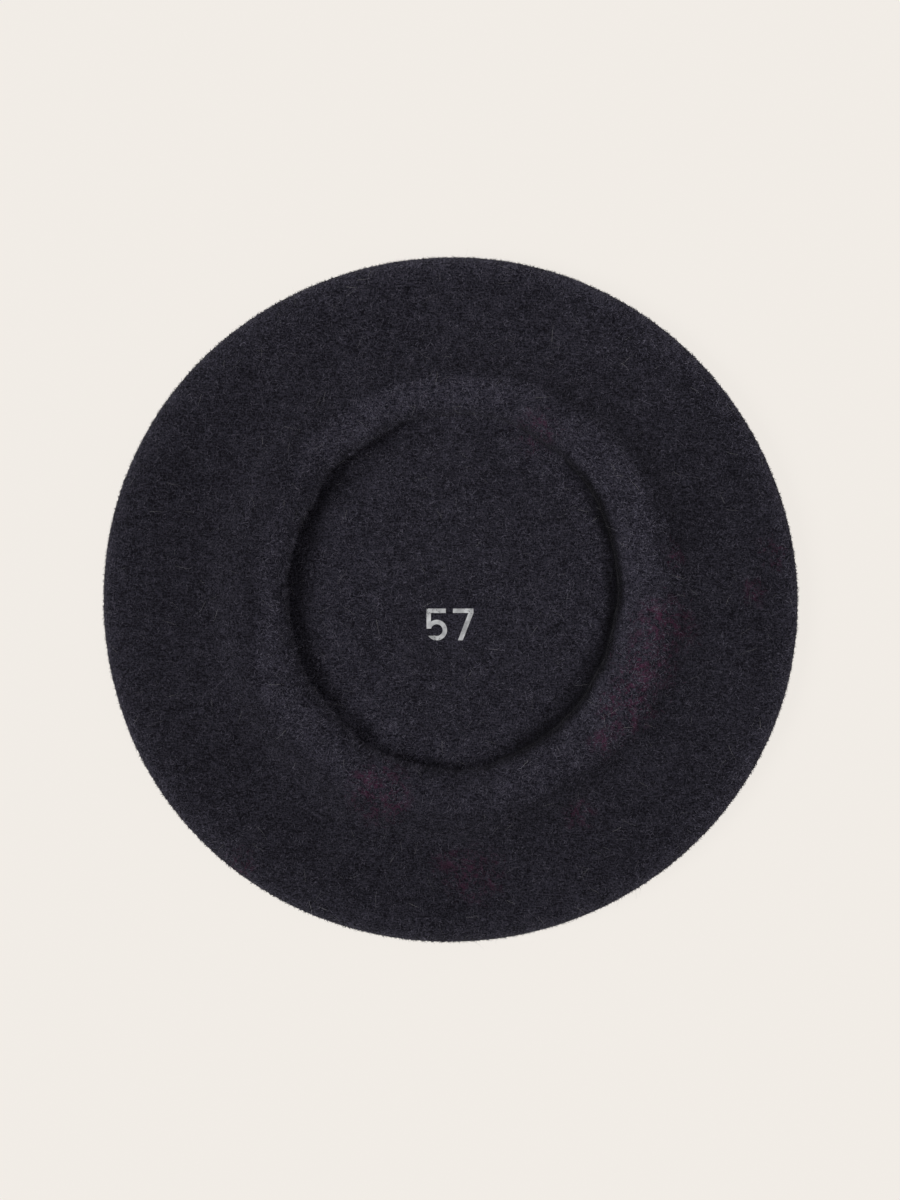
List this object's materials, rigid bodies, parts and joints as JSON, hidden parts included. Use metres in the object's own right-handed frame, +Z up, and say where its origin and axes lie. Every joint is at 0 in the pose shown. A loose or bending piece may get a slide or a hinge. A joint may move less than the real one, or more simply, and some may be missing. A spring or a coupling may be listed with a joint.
{
  "type": "wool beret",
  "caption": "Round fulled wool beret lying on its flat crown, with a rolled elastic lip round an oval head opening and a short felt stalk.",
  "frame": {"origin": "middle of the crown on the table, as the beret lies upside down on it", "axes": "+Z up out of the head opening, +Y to the front, where the lip lies lowest, and +X across the hat"},
  "size_m": [0.285, 0.281, 0.0166],
  "materials": {
    "felt": "brushed wool nap",
    "elastic": "woven elastic",
    "thread": "spun thread",
    "print": "silver transfer film",
    "label": "satin ribbon"
  },
  "bodies": {
    "hat": {"felt_body": "felt", "hem_elastic": "elastic", "hem_stitches": "thread", "size_print": "print", "label_tacks": "thread"},
    "stalk": {"stalk": "felt"},
    "label": {"care_label": "label"}
  },
  "joints": [
    {"name": "stalk_bend", "type": "hinge", "parent": "hat", "child": "stalk", "pos_m": [0, 0, 0.0016], "axis": [0, 1, 0], "range_deg": [0, 90]},
    {"name": "label_flip", "type": "hinge", "parent": "hat", "child": "label", "pos_m": [0, -0.0825, 0.0081], "axis": [-1, 0, 0], "range_deg": [0, 20]}
  ]
}
